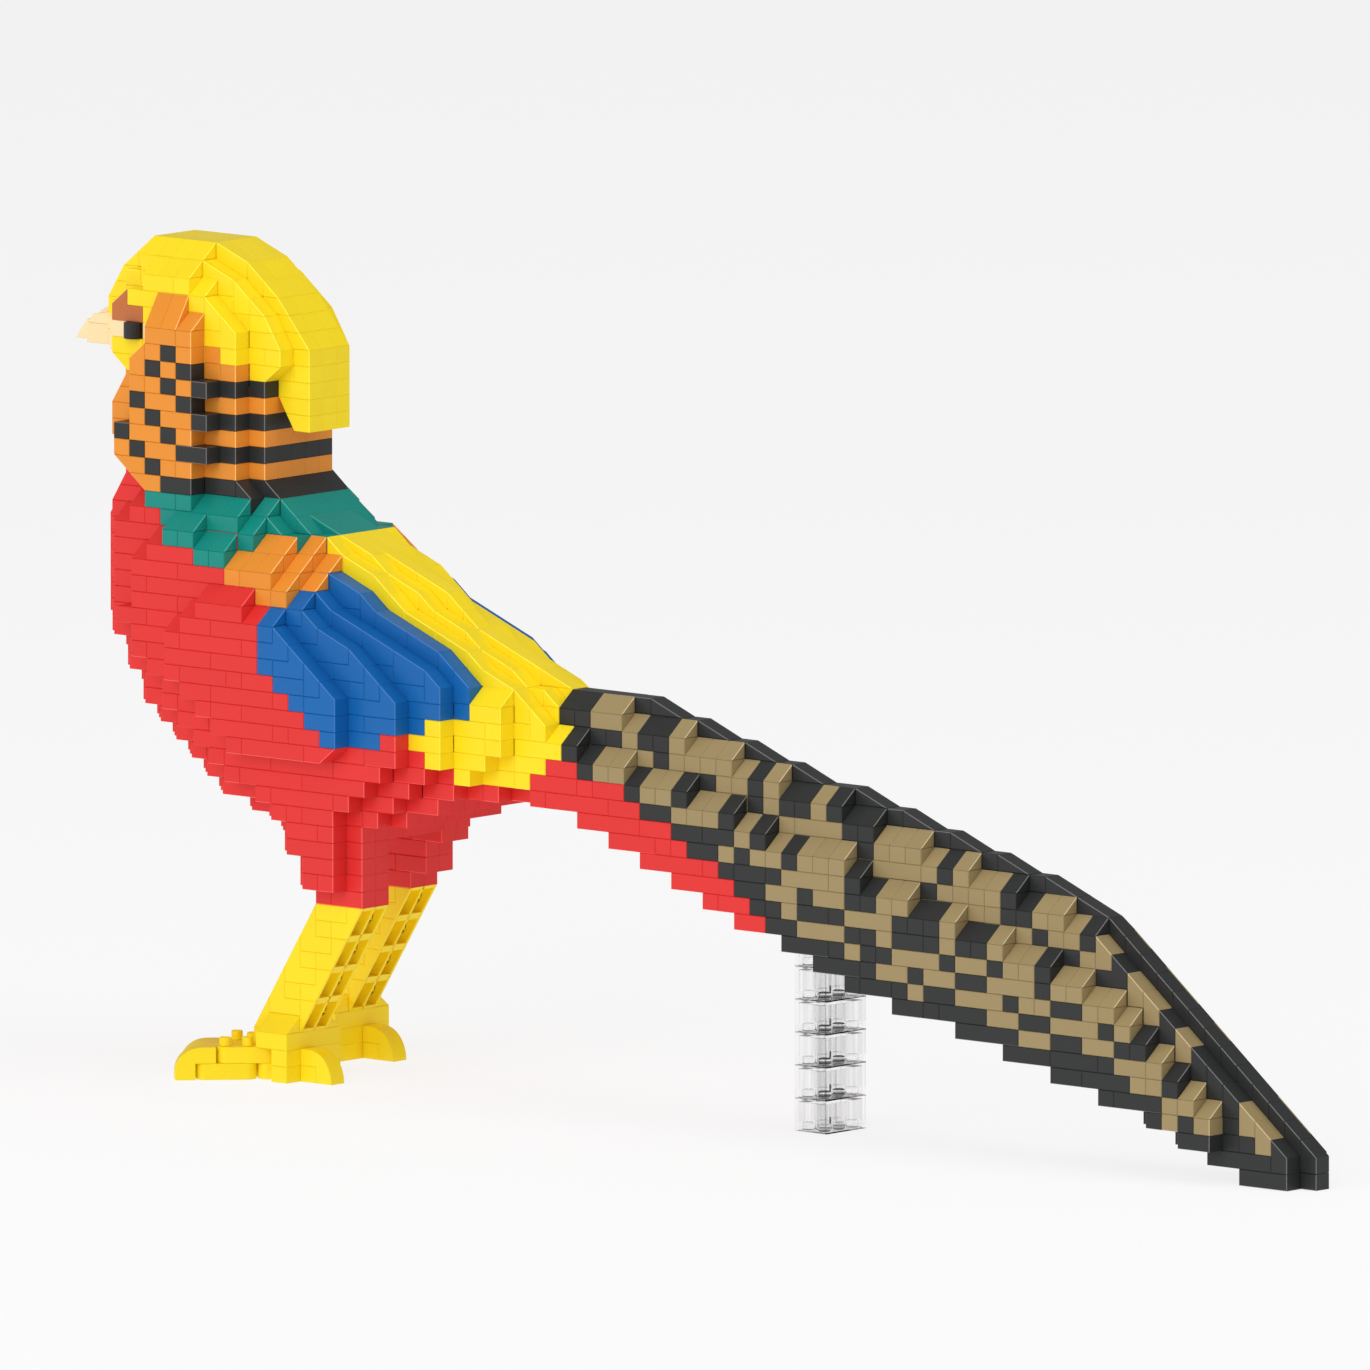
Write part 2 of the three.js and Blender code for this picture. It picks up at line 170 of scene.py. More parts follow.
# Sloped bricks that face sideways, each (front stud, rear stud, course they start from, courses high), and a
# colour where they differ from the bricks below
sideSlopes = {
    0: [],
    1: [],
    2: [(-72, -68, 49, 1)],
    3: [(-64, -63, 34, 1), (-61, -60, 32, 1), (-60, -59, 31, 1, "orange"), (-50, -48, 24, 1),
        (-71, -68, 48, 1), (-68, -67, 47, 1)],
    4: [(-72, -71, 33, 1), (-71, -70, 34, 1), (-67, -64, 34, 1), (-64, -63, 33, 1), (-63, -61, 32, 1),
        (-61, -60, 31, 1), (-60, -59, 30, 1, "orange"), (-70, -68, 45, 2), (-68, -67, 45, 1)],
    5: [(-70, -69, 31, 1), (-69, -68, 32, 1), (-68, -66, 33, 1), (-66, -64, 32, 1), (-64, -61, 31, 1),
        (-61, -60, 30, 1), (-60, -59, 29, 1)],
    6: [(-67, -66, 27, 1), (-66, -65, 28, 1), (-65, -62, 29, 1), (-62, -60, 28, 1)],
}
for row, end in ((1, -12), (2, -4)):
    for x, z, _ in tailTop[row]:
        sideSlopes[row].append((x, end, z, 1))
        end = x


def outline(slice):                    # side outline of a slice, anticlockwise seen from its left
    front = breast[slice]
    points = []
    top = front[0][1]
    for x, z in front:
        points += [(x, top), (x, z)]
        top = z
    return points + steps(front[-1][0], underside[slice]) + upper[slice]


# Colours of the bricks

def tailRow(row, x, z):                # colour of a step's bricks, or None away from the steps
    for start, top, letters in tailTop[row]:
        if start <= x < start + len(letters) and z == top - 1:
            return {"b": "black", "t": "tan", "y": "yellow"}[letters[x - start]]
    return None


mottle = {"wave": (1.5, 2.7), "ripple": (0.7, -1.9), "rippleShare": 0.7, "limit": -0.15, "paleFrom": 14,
          "paleLimit": -0.45}
covertEnd = {20: -44, 19: -41, 18: -40, 17: -38, 16: -37, 15: -35, 14: -34, 13: -33, 12: -32}


def mottled(x, z):                     # tan where sin(a x + b z) + share sin(c x + d z) is above a limit
    (a, b), (c, d) = mottle["wave"], mottle["ripple"]
    wave = math.sin(a * x + b * z) + mottle["rippleShare"] * math.sin(c * x + d * z)
    return "tan" if wave > mottle["limit" if z < mottle["paleFrom"] else "paleLimit"] else "black"


def tailColour(slice, x, z):           # red coverts end where covertEnd gives a stud for a course
    if z <= 20 and x < covertEnd.get(z, -60):
        return "red"
    if slice == 0:
        return "black"
    found = tailRow(slice, x, z) if slice < 3 else None
    if found:
        return found
    if slice == 1 and (z == 22 or (x, z) in ((-40, 21), (-34, 19))):
        return "black"
    if slice == 1 and x >= tipSlope["front"]:    # its bricks stand on one black row after another
        return "tan" if z == -x and tipSlope["bricks"][x - tipSlope["front"]] == "t" else "black"
    under = max((x for x, low in tailUnderside + tipUnderside if low > z), default=-60)
    edge = covertEnd.get(z, under)
    if slice == 2 and x < edge + (4 if 4 <= z <= 11 else 2):
        return "black"                 # a dark lower edge
    return mottled(x, z)


def capeColour(slice, x, z):           # dots every third stud on the flank, bars across the nape
    row, column = 44 - z, x + 72
    if slice < 4 or x >= -67:
        return "black" if z % 2 and z <= 41 and x >= -68 or z == 34 else "orange"
    dots = row > 1 and (column - row) % 3 == 0
    return "black" if row <= 9 and (dots or (row, column) in ((1, 3), (2, 4), (9, 4))) else "orange"


def headColour(slice, x, z):           # crest, brow, cheek and the place of the eye
    if slice == 3 and z == 44 and x == -72:
        return "open"
    if slice == 3 and z == 44 and x == -71:
        return "cream"
    if slice == 3 and z == 43 and x == -67:
        return "orange"
    if slice == 3 and ((z == 45 and x < -71) or (z == 46 and x < -72)):
        return "brown"
    if (slice == 3 and z == 44 and x < -72) or (slice < 3 and z < 45 and x < -73):
        return "cream"
    return "yellow"


def wingFront(z):                      # first stud of the outer wing slice, which slopes back below course 25
    return -61 + max(0, 25 - z)


def bodyColour(slice, x, z):           # breast, mantle, shoulder, wing and back, slice by slice
    if slice == 6:
        return "blue" if x >= wingFront(z) and z > 20 else "red"
    if slice == 5:
        if z >= 31:
            return "teal" if x >= -66 and z < 33 or (z == 32 and x >= -68) or z == 33 else "red"
        if z >= 29:
            return "orange" if x >= (-64 if z == 30 else -62) else "red"
        if z == 21:
            return "blue" if -60 <= x < -54 else "red"
        return "blue" if z > 21 and x >= -61 else "red"
    if slice == 4:
        if z >= 33:
            return "teal" if x >= (-70 if z == 34 else -69) else "red"
        if z >= 30:
            return ("teal" if x < -62 and z == 32 else "orange") if x >= -64 else "red"
        if z >= 23 and x >= -60:
            return "blue"
        return {22: "blue" if x < -52 else "yellow", 21: "yellow", 20: "yellow" if x >= -52 else "red"}.get(
            z, "red") if x >= -54 and z < 23 else "red"
    if slice == 3:
        if z >= 31 and x >= -72:
            return "teal" if x < -61 else ("orange" if x < -59 else "blue")
        if z >= 23 and x >= -60:
            return "blue" if x < -50 else "yellow"
        return "yellow" if x >= -53 and z >= 19 and not (z == 19 and x < -51) else "red"
    if x < -60:
        return "teal" if z >= 31 and x >= -72 else "red"
    return "yellow" if z >= 19 + max(0, x + 48) else "red"


def colourAt(slice, x, z):             # colour of the brick that starts at stud x of course z
    if z >= 43 and not (slice == 4) or (z == 42 and x < -72 and slice < 4) or (z >= 39 and x >= -64):
        return headColour(slice, x, z)
    if z >= 36 or (z == 35 and (slice == 4 or x >= -68)) or (z == 34 and slice < 4 and x >= -65):
        return capeColour(slice, x, z)
    if x >= -47 and slice < 3 and not (x < -46 and z > 18) and not (slice == 2 and x == -46 and z >= 20):
        return tailColour(slice, x, z)
    return bodyColour(slice, x, z)


# Bricks

bricks = []                            # every brick: its section, how it is drawn out, its colour, its piece
filled = set()                         # places that bricks take up: (slice from -6 to 6, stud, course)
sloped = set()                         # places that hold a sideways slope


def pieceOf(slice, x, z, colour):      # name of the piece that a brick belongs to
    flank = "Left" if slice < 0 else "Right"
    if x >= -47 and colour in ("black", "tan"):
        return "tailBlack" if colour == "black" else "tailTan"
    if z < 21 and x >= -47 and colour == "red":
        return "tailCoverts"
    if colour == "yellow" and x < -71 and z < 46:
        return "face"
    if colour in ("cream", "brown"):
        return "cheeks" if colour == "cream" else "brow" + flank
    if z >= 43 or (z >= 39 and x >= -64 and colour == "yellow"):
        return "crest" if colour == "yellow" else "cape" + colour.capitalize()
    if z >= 34 and colour in ("orange", "black"):
        return "cape" + colour.capitalize()
    if abs(slice) >= 3 and z < 16:
        return "thigh" + flank
    return {"red": "torso", "teal": "mantle", "blue": "wing" + flank, "orange": "shoulder" + flank,
            "yellow": "back"}[colour]


def addBrick(corners, start, end, piece, colour, axis="y", placing="lattice", hollow=(), seam=None):
    # hollow lists the corners of the section that point inwards
    bricks.append({"corners": corners, "start": start, "end": end, "axis": axis, "placing": placing,
                   "piece": piece, "colour": colour, "hollow": hollow,
                   "seam": brick["seam"] if seam is None else seam})


def crossings(points, z):
    # studs where the outline crosses a course, at its bottom and its top: x0 + (z - z0) dx / dz on each edge
    a = np.array(points, float)
    b = np.roll(a, -1, axis=0)
    hit = (np.minimum(a[:, 1], b[:, 1]) < z + 0.5) & (np.maximum(a[:, 1], b[:, 1]) > z + 0.5)
    a, b = a[hit], b[hit]
    lean = (b[:, 0] - a[:, 0]) / (b[:, 1] - a[:, 1])
    low = a[:, 0] + lean * (z - a[:, 1])
    order = np.argsort(low + lean / 2)
    pairs = np.round(np.stack([low, low + lean], axis=1)[order], 4)
    return [(*left, *right) for left, right in zip(pairs[::2].tolist(), pairs[1::2].tolist())]


def joints(first, last, slice, z):     # studs where a stretch's bricks meet: at new colours and in bond
    cuts = [first]
    for x in range(first + 1, last):
        newColour = colourAt(slice, x, z) != colourAt(slice, x - 1, z)
        if slice in (1, 2) and x > -46 and tailRow(slice, x, z) and not (z == 23 and x % 2):
            newColour = True           # the tail's steps are rows of single bricks
        bonded = (x + 2 * z + 3 * slice) % brick["longest"] == 0 or (7 * x + 13 * z + 5 * slice) % 11 == 0
        if newColour or bonded:
            cuts.append(x)
    return cuts + [last]


def box(x0, x1, z, height=1):          # corners of a plain brick
    return [(x0, z), (x1, z), (x1, z + height), (x0, z + height)]


def wedges(rows, end, z, sign):        # how far a slope that starts on top of a brick's end runs, in studs
    for row in rows.get(z + 1, ()):
        low, high = (row[2], row[3]) if sign > 0 else (row[0], row[1])
        run = (low - high) * sign
        if low == end and run in (1, 2):
            return int(run)
    return 0


def carried(rows, z, row, front):      # where the brick below carries the slope that ends a row, or None
    ends = (lambda r: (r[1] - r[0], r[0], r[1])) if front else (lambda r: (r[2] - r[3], r[2], r[3]))
    run, low, _ = ends(row)
    if run not in (1, 2):
        return None
    for other in rows.get(z - 1, ()):
        otherRun, _, top = ends(other)
        if top == low and (otherRun == 0 or carried(rows, z - 1, other, front)):
            return "end"
        if other[1] <= low <= other[3]:
            return "middle"
    return None


def layRow(slice, signed, z, row, rows):  # one stretch of a course: its sloped ends, then its bricks in bond
    l0, l1, r0, r1 = row
    faces = signed - 0.5, signed + 0.5
    onFront, onRear = carried(rows, z, row, True), carried(rows, z, row, False)
    first = int(l1) if onFront else math.ceil(max(l0, l1))
    last = int(r1) if onRear else math.floor(min(r0, r1))
    filled.update((signed, x, z) for x in range(first, last))

    def lay(corners, x, hollow=()):
        colour = colourAt(slice, x, z)
        if colour == "open":           # the place of an eye
            filled.discard((signed, x, z))
            return
        addBrick(corners, *faces, pieceOf(signed, x, z, colour), colour, placing="slice", hollow=hollow,
                 seam=brick["ridgeSeam"] if slice == 0 and x >= -46 else None)

    def layWedge(low, high, x):
        colour = colourAt(slice, x, z - 1)
        corners = [(low, z), (high, z), (high, z + 1)] if low < high else [(high, z), (low, z), (high, z + 1)]
        addBrick(corners, *faces, pieceOf(signed, x, z - 1, colour), colour, placing="slice")

    if onFront == "middle":
        layWedge(l0, l1, int(l0))
    if onRear == "middle":
        layWedge(r0, r1, int(r0) - 1)
    begin, finish = first, last
    if l0 != l1 and not onFront:       # a steep or overhanging end is cut to its slope
        begin = min(first + 1, last)
        lay([(l0, z), (begin, z), (begin, z + 1), (l1, z + 1)], math.floor(min(l0, l1)))
    if r0 != r1 and not onRear:
        finish = max(last - 1, begin)
        lay([(finish, z), (r0, z), (r1, z + 1), (finish, z + 1)], math.ceil(max(r0, r1)) - 1)
    if finish <= begin:
        return
    front = wedges(rows, begin, z, -1) if begin == first else 0
    rear = wedges(rows, finish, z, 1) if finish == last else 0
    cuts = [x for x in joints(begin, finish, slice, z)
            if x in (begin, finish) or begin + front <= x <= finish - rear]
    for x0, x1 in zip(cuts[:-1], cuts[1:]):
        slopeRear = rear if x1 == finish else 0
        slopeFront = front if x0 == begin else 0
        if slopeRear and slopeFront:   # a single brick between two slopes
            lay(box(x0, x1, z), x0)
            lay([(x1 - slopeRear, z + 1), (x1, z + 1), (x1 - slopeRear, z + 2)], x0)
            lay([(x0, z + 1), (x0 + slopeFront, z + 1), (x0 + slopeFront, z + 2)], x0)
        elif slopeRear and x1 - slopeRear == x0:
            lay([(x0, z), (x1, z), (x1, z + 1), (x0, z + 2)], x0)
        elif slopeRear:
            top = x1 - slopeRear
            lay([(x0, z), (x1, z), (x1, z + 1), (top, z + 2), (top, z + 1), (x0, z + 1)], x0, (4,))
        elif slopeFront and x0 + slopeFront == x1:
            lay([(x0, z), (x1, z), (x1, z + 2), (x0, z + 1)], x0)
        elif slopeFront:
            top = x0 + slopeFront
            lay([(x0, z), (x1, z), (x1, z + 1), (top, z + 1), (top, z + 2), (x0, z + 1)], x0, (3,))
        else:
            lay(box(x0, x1, z), x0)


def laySlice(slice, side):             # all courses of a slice, then the bricks that slope sideways
    signed = slice * side
    points = outline(slice)
    low, high = int(min(p[1] for p in points)), int(max(p[1] for p in points))
    rows = {z: crossings(points, z) for z in range(low, high)}
    for z in rows:
        for row in rows[z]:
            layRow(slice, signed, z, row, rows)
    for x0, x1, z, height, *given in sideSlopes[slice]:
        section = [(slice - 0.5, z), (slice + 0.5, z), (slice - 0.5, z + height)]
        if side < 0:
            section = [(-y, q) for y, q in section][::-1]
        length = 2 if (slice, z) == (1, 24) else 1
        for x in range(x0, x1, length):
            colour = given[0] if given else colourAt(slice, x, z - 1) if z < 47 else "yellow"
            piece = pieceOf(signed, x, z, colour)
            addBrick(section, x + length, x, piece, colour, axis="x", placing="sideSlope")
            bricks[-1].update(slope=0 if side < 0 else 1, rearOpen=x == x1 - length)
            sloped.update((signed, x + k, z) for k in range(length))


# Lower thighs, each (front stud, rear stud, inner slice, outer slice, bottom course, top course)
thighs = {
    -1: [(-59, -56, 3, 4, 11, 12), (-60, -56, 3, 4, 12, 14), (-61, -56, 3, 4, 14, 17),
         (-59, -57, 5, 5, 12, 14), (-60, -57, 5, 5, 14, 17)],
    1: [(-62, -59, 3, 4, 11, 12), (-63, -58, 3, 4, 12, 14), (-64, -57, 3, 4, 14, 17),
        (-62, -60, 5, 5, 12, 14), (-63, -59, 5, 5, 14, 17)],
}


def layThigh(side):                    # only where the body has left the place free
    flank = "thighLeft" if side < 0 else "thighRight"
    for x0, x1, inner, outer, z0, z1 in thighs[side]:
        for slice in range(inner * side, (outer + 1) * side, side):
            for z in range(z0, z1):
                free = [x for x in range(x0, x1) if (slice, x, z) not in filled]
                filled.update((slice, x, z) for x in free)
                cuts = [x for x in free if x == free[0] or (x + z + slice) % 3 == 0]
                cuts += [x + 1 for x in free[-1:]]
                for a, b in zip(cuts[:-1], cuts[1:]):
                    addBrick(box(a, b, z), slice - 0.5, slice + 0.5, flank, "red", placing="slice")


def dropRepeats(corners):              # a triangle's outline has one corner twice
    return [p for i, p in enumerate(corners) if p != corners[i - 1]]


def buried(one):                       # a plain brick with others on all six sides can't be seen
    xs, zs = [p[0] for p in one["corners"]], [p[1] for p in one["corners"]]
    if one["placing"] != "slice" or len(one["corners"]) != 4:
        return False
    slice, z = round((one["start"] + one["end"]) / 2), int(min(zs))
    studs = range(int(min(xs)), math.ceil(max(xs)))
    beside = [(slice, studs[0] - 1, z), (slice, studs[-1] + 1, z)]
    around = [(slice + s, x, z + c) for x in studs for s, c in ((1, 0), (-1, 0), (0, 1), (0, -1))]
    return all(place in filled for place in beside + around)


for slice in range(7):
    for side in ((-1, 1) if slice else (1,)):
        laySlice(slice, side)
layThigh(-1)
layThigh(1)
for one in bricks:
    one["corners"] = dropRepeats(one["corners"])
print("laid", len(bricks), "bricks")
bricks = [one for one in bricks if not buried(one)]
print("kept", len(bricks), "that can be seen")


# Legs and feet. Both are laid for the left leg; the right one is its mirror image three studs further forward

leg = {
    "top": 11, "rearAtTop": -56, "rows": 4,      # rows of bricks two courses high, each one stud further back
    "inner": -2.5, "outer": -4.5,
    "wall": 0.17, "pocket": 0.7,                 # the hollow undersides of the bricks, in studs
    "rims": ((0, 0.1), (0.9, 1)),                # shares of a row's height, over and under the pockets
    "step": 3,
}
claw = {"middle": 0.6, "run": 1.4, "rise": 2}
toe = {
    "tip": (-64.8, -8.2), "width": 3.5, "length": 4.5, "round": 1.3, "setBack": 0.45, "sideGap": 1.05,
    "plates": ((1.03, 3.99, 0), (2.05, 5, 1), (4.04, 5.2, 0)),  # where each starts and ends, and its course
    "studsAt": (2.45, 3.55), "middleStuds": (-64.5, -63.5), "middleStudsSide": -4,
    "studRadius": 0.28, "studHole": 0.17, "studHeight": 0.55,
}
arcSteps = 12


def arc(cx, cz, rx, rz, begin, finish):  # points on an ellipse: centre + (rx cos a, rz sin a)
    turns = np.radians(np.linspace(begin, finish, arcSteps + 1))
    return [(cx + rx * math.cos(a), cz + rz * math.sin(a)) for a in turns.tolist()]


def layLeg(placing, flank):            # rows of bricks, each one stud further back than the row below
    piece = "shank" + flank
    outer, inner, wall = leg["outer"], leg["inner"], leg["wall"]
    for k in range(leg["rows"]):
        z = leg["top"] - 2 * (k + 1)
        x = leg["rearAtTop"] - 4 - k             # front of the row at its bottom
        low = [(x + 1, z), (x + 2, z), (x + 2, z + 1), (x + 1, z + 1)]
        # the upper brick carries the next row's front slope
        upper = [(x + 1, z + 1), (x + 3, z + 1), (x + 3, z + 2), (x + 2, z + 2), (x + 2, z + 4),
                 (x + 1, z + 2)]
        if k == 0:
            upper = [(x + 1, z + 1), (x + 3, z + 1), (x + 3, z + 2), (x + 1, z + 2)]
        stair = [(x + 3, z + 2), (x + 3, z + 1), (x + 2, z + 1)]
        rear = [(x + 2, z), (x + 3, z), (x + 4, z + 2)] + stair
        addBrick(low, outer, inner, piece, "yellow", placing=placing)
        addBrick(upper, outer, inner, piece, "yellow", placing=placing, hollow=() if k == 0 else (3,))
        if k == leg["rows"] - 1:
            addBrick([(x, z), (x + 1, z), (x + 1, z + 2)], outer, inner, piece, "yellow", placing=placing)
        deep = leg["pocket"]
        core = [(x + 2, z), (x + 3 - deep, z), (x + 4 - deep, z + 2)] + stair
        strip = [(x + 3 - deep, z), (x + 3, z), (x + 4, z + 2), (x + 4 - deep, z + 2)]
        middle = (outer + inner) / 2
        addBrick(rear, outer, outer + wall, piece, "yellow", placing=placing, hollow=(4,))
        addBrick(rear, inner - wall, inner, piece, "yellow", placing=placing, hollow=(4,))
        addBrick(core, outer + wall, inner - wall, piece, "yellow", placing=placing, hollow=(4,), seam=0)
        addBrick(strip, middle - wall / 2, middle + wall / 2, piece, "yellow", placing=placing, seam=0)
        for a, b in leg["rims"]:
            rim = [(x + 3 - deep + a, z + 2 * a), (x + 3 + a, z + 2 * a), (x + 3 + b, z + 2 * b),
                   (x + 3 - deep + b, z + 2 * b)]
            addBrick(rim, outer + wall, inner - wall, piece, "yellow", placing=placing, seam=0)


def layHeel(placing, flank):           # two bricks on each of three courses, and a sloped one on either side
    piece = "foot" + flank
    front, rear = leg["rearAtTop"] - 7, leg["rearAtTop"] - 4
    for z, cut in ((0, rear - 1), (1, rear - 1), (2, rear - 2)):
        addBrick(box(front, cut, z), leg["outer"], leg["inner"] + 1, piece, "yellow", placing=placing)
        addBrick(box(cut, rear, z), leg["outer"] - 1, leg["inner"] + 1, piece, "yellow", placing=placing)
    for y, side in ((leg["outer"], -1), (leg["inner"], 1)):
        section = [(y, 3), (y + side, 3), (y, 4)][::side]
        addBrick(section, rear, front + 1, piece, "yellow", axis="x", placing=placing)


def layClaw(placing, flank):           # a quarter of an ellipse behind the heel
    front = leg["rearAtTop"] - 4
    y0, y1 = leg["outer"], leg["outer"] + 1
    curve = arc(front + claw["middle"], 0, claw["run"], claw["rise"], 0, 90)
    body = [(front + 1, 0)] + curve + [(front, 2), (front, 1), (front + 1, 1)]
    addBrick(body, y0, y1, "claw" + flank, "yellow", placing=placing, hollow=(len(body) - 1,))
    addBrick(box(front, front + 1, 0), y0, y1, "claw" + flank, "yellow", placing=placing)


def layToes(placing, flank):
    # laid along the toe: studs from its tip, studs from the side that faces outwards, courses
    piece = "foot" + flank
    width = toe["width"]
    curve = arc(toe["round"], 0.5, toe["round"], 1.5, 90, 180)
    tip = [(1, 0), (1, 1), (2, 1), (2, 2)] + curve + [(0, 0)]
    addBrick(tip, 0, 1, piece, "yellow", placing=placing, hollow=(1,))
    setBack = [(s + toe["setBack"], z) for s, z in [(2, 0), (2, 2)] + curve + [(0, 0)]]
    addBrick(setBack, 1, width, piece, "yellow", placing=placing)
    for s0, s1, z in toe["plates"]:
        pill = arc(s1 - 0.5, 0.5, 0.5, 0.5, -90, 0) + arc(s1 - 0.5, 0.5, 0.5, 0.5, 0, 90)[1:]
        pill += arc(s0 + 0.5, 0.5, 0.5, 0.5, 90, 180) + arc(s0 + 0.5, 0.5, 0.5, 0.5, 180, 270)[1:-1]
        addBrick(pill, z + 1, z, piece, "yellow", axis="z", placing=placing)
    for z in (0, 1):
        addBrick(box(2 + toe["setBack"], toe["length"], z), toe["sideGap"], width, piece, "yellow",
                 placing=placing)
    for s in toe["studsAt"]:
        layOpenStud(s, 0.5, placing, piece)


def layOpenStud(x, y, placing, piece):           # a tube: its wall is two half rings
    outer, inner, top = toe["studRadius"], toe["studHole"], 2 + toe["studHeight"]
    for turn in (0, 180):
        wall = arc(x, y, outer, outer, turn, turn + 180) + arc(x, y, inner, inner, turn + 180, turn)
        inwards = tuple(range(arcSteps + 2, 2 * arcSteps + 1))
        addBrick(wall, top, 2, piece, "yellow", axis="z", placing=placing, hollow=inwards, seam=0)


for placing, flank in (("lattice", "Left"), ("otherLeg", "Right")):
    layLeg(placing, flank)
    layHeel(placing, flank)
    layClaw(placing, flank)
    layToes("toe" + flank, flank)
    for x in toe["middleStuds"]:
        layOpenStud(x, toe["middleStudsSide"], placing, "foot" + flank)


# Clear column under the tail

column = {
    "front": -31, "rear": -29, "half": 1.5, "top": 11,
    "wall": 0.14, "roof": 0.2, "sill": 0.06,
    "studRadius": 0.3, "studHeight": 0.45, "studGap": 0.08,
    "tubeRadius": 0.40, "tubeGaps": (0.02, 0.08),          # over and under each tube
    "tubeHole": 0.33, "holeGaps": (0.06, 0.12),
    "bevel": 0.035,
}


def layColumn():                       # each clear brick is a box round a cavity, with tubes and studs in it
    c = column
    x0, x1, y = c["front"], c["rear"], c["half"]
    for z in range(0, c["top"], 2):
        top = min(z + 2, c["top"])
        height = top - z
        addBrick(box(x0, x1, z, height), -y, y, "column", "clear")
        cavity = box(x0 + c["wall"], x1 - c["wall"], z + c["sill"], height - c["sill"] - c["roof"])
        addBrick(cavity, -y + c["wall"], y - c["wall"], "column", "clear", seam=0)
        bricks[-1]["inside"] = True
        roof = top - c["roof"]
        for tubeY in (-0.5, 0.5):
            for radius, (over, under) in ((c["tubeRadius"], c["tubeGaps"]), (c["tubeHole"], c["holeGaps"])):
                ring = arc((x0 + x1) / 2, tubeY, radius, radius, 0, 360)[:-1]
                addBrick(ring, roof - over, z + under, "column", "clear", axis="z", seam=0)
            bricks[-1]["inside"] = True
        for studX in (x0 + 0.5, x1 - 0.5):       # studs of the brick below, inside this one
            for studY in (-1, 0, 1):
                stud = arc(studX, studY, c["studRadius"], c["studRadius"], 0, 360)[:-1]
                foot = z + c["studGap"]
                addBrick(stud, foot + c["studHeight"], foot, "column", "clear", axis="z", seam=0)


layColumn()


# Beak and eyes

mouth = 44.25                                    # course where the halves of the beak meet
upperBeak = [(-76.95, mouth), (-75, mouth), (-75, 45.5), (-75.6, 45.4), (-76.4, 44.8)]
lowerBeak = [(-77.99, 43.02), (-75, 43.02), (-75, mouth), (-77.25, mouth)]
upperBase = [(-76.3, mouth), (-75, mouth), (-75, 45), (-76, 44.8)]
lowerBase = [(-76.4, 43.02), (-75, 43.02), (-75, mouth), (-76.3, mouth)]
for half in (upperBeak, lowerBeak):
    addBrick(half, -0.5, 0.5, "beak", "cream")
for half in (upperBase, lowerBase):
    addBrick(half, -1.5, -0.5, "beak", "cream")
    addBrick(half, 0.5, 1.5, "beak", "cream")
eye = {"x": -71.6, "y": 3.52, "radius": 0.465, "bottom": 44, "top": 45}
for side, flank in ((-1, "Left"), (1, "Right")):
    ring = arc(eye["x"], eye["y"] * side, eye["radius"], eye["radius"], 0, 360)[:-1]
    addBrick(ring, eye["top"], eye["bottom"], "eye" + flank, "black", axis="z")


# Bevelled prisms

def inset(corners, distance):          # each corner moves in by d (out - back) / sin(turn), the edges' mitre
    out = np.roll(corners, -1, axis=1) - corners
    out /= np.linalg.norm(out, axis=2, keepdims=True)
    back = np.roll(out, 1, axis=1)
    turn = back[..., 0] * out[..., 1] - back[..., 1] * out[..., 0]
    return corners + distance * (out - back) / turn[..., None], out, back


def prisms(corners, start, end, hollow, bevels):
    # six rings of corners from start to end: cap, two on the side, two on the side, cap. On the side each
    # corner is cut off between P - r back and P + r out. bevels holds a width for each brick's two caps
    count, n = corners.shape[:2]
    cap, out, back = inset(corners, bevels[:, :1, None])
    farCap = inset(corners, bevels[:, 1:, None])[0]
    run = np.full((1, n, 1), brick["corner"])
    hollow = list(hollow)
    run[0, hollow] = 0
    before, after = corners - run * back, corners + run * out
    deep = np.sign(end - start)[:, None] * bevels
    levels = [start[:, None], start[:, None] + deep[:, :1], end[:, None] - deep[:, 1:], end[:, None]]
    rings = [(cap, 0), (before, 1), (after, 1), (before, 2), (after, 2), (farCap, 3)]
    points = np.stack([np.concatenate([ring, np.broadcast_to(levels[k][..., None], (count, n, 1))], axis=2)
                       for ring, k in rings], axis=1)
    c, a1, b1, a2, b2, d = [np.arange(n) + n * k for k in range(6)]
    b1[hollow], b2[hollow] = a1[hollow], a2[hollow]      # an inward corner isn't cut: its two points are one
    faces, edges = [c, d[::-1]], [-1, -1]        # edges: the edge of a cap that each face bevels, or -1
    for i in range(n):
        j = (i + 1) % n
        faces += [[c[j], c[i], b1[i], a1[j]], [a1[j], b1[i], b2[i], a2[j]], [a2[j], b2[i], d[i], d[j]]]
        edges += [i, -1, n + i]
        if i not in hollow:
            faces += [[b1[i], c[i], a1[i]], [b1[i], a1[i], a2[i], b2[i]], [b2[i], a2[i], d[i]]]
            edges += [-1, -1, -1]
    return points.reshape(count, 6 * n, 3), [np.array(f) for f in faces], np.array(edges)


